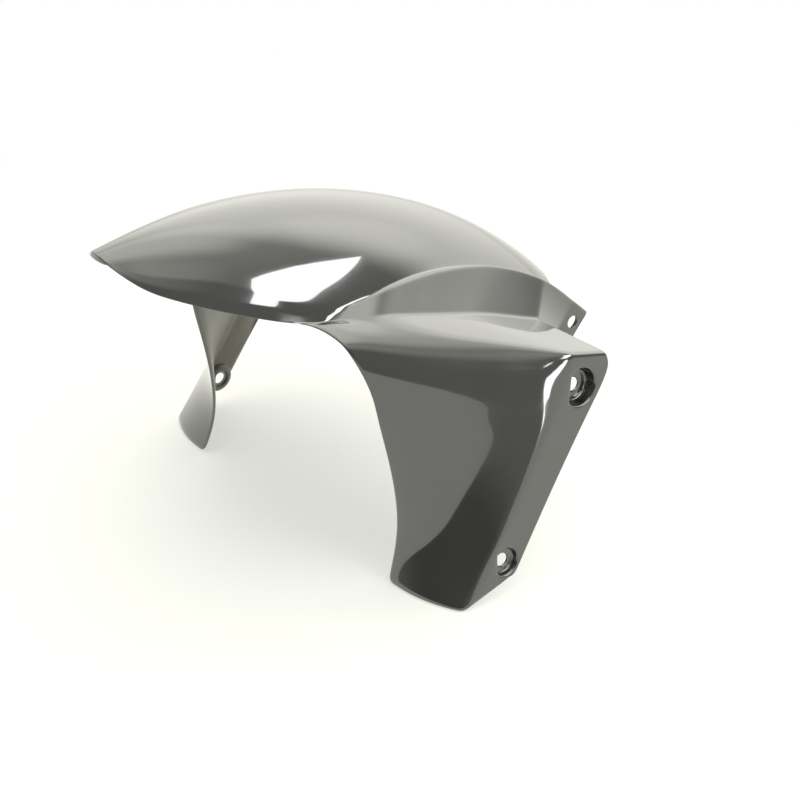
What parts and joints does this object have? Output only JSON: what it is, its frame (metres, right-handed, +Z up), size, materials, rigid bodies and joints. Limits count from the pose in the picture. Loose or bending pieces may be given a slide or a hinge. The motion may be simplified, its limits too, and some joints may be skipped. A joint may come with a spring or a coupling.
{
  "type": "motorcycle mudguard",
  "caption": "Front mudguard for a motorcycle: a gloss black moulded arch over the tyre, with a shelf and a folded wing on each side that bolts to the fork leg.",
  "frame": {"origin": "centre of the bounding box in plan, at the height of the wing feet", "axes": "+X forward to the nose, +Y to the rider's left, +Z up; the wheel axle is parallel to Y"},
  "size_m": [0.285, 0.2652, 0.1943],
  "materials": {
    "black_plastic": "high gloss"
  },
  "bodies": {
    "root": {"mudguard_shell": "black_plastic"}
  },
  "joints": []
}
